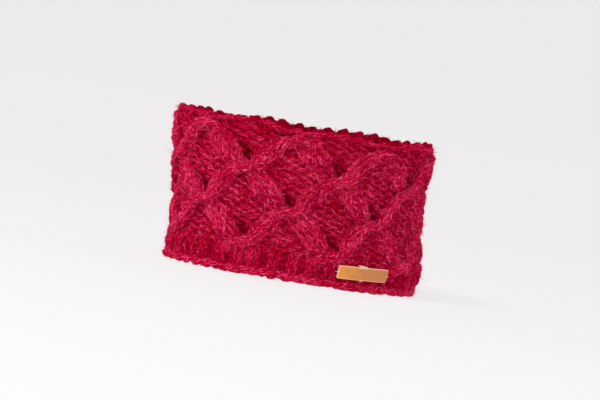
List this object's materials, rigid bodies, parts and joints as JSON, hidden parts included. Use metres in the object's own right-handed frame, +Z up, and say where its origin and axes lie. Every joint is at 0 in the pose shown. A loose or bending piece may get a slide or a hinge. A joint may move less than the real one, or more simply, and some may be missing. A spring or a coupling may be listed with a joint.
{
  "type": "knit headband",
  "caption": "Wide knitted headband open at top and bottom, with crossing rope cables over a purl ground, a ribbed hem with a rolled edge and a small bare leather label.",
  "frame": {"origin": "middle of the part's box in plan, on the flattened lower edge that it rests on", "axes": "+Z up through the head hollow, -Y towards the wearer's face, +X towards the wearer's left, where the label is"},
  "size_m": [0.1778, 0.2216, 0.1201],
  "materials": {
    "knit": "crimson wool yarn, matt with a soft fuzz",
    "label": "tan leather, satin, bare",
    "thread": "cream waxed thread"
  },
  "bodies": {
    "root": {"knit_band": "knit", "leather_label": "label", "label_tack_left": "thread", "label_tack_right": "thread", "label_tack_top": "thread", "label_tack_bottom": "thread"}
  },
  "joints": []
}
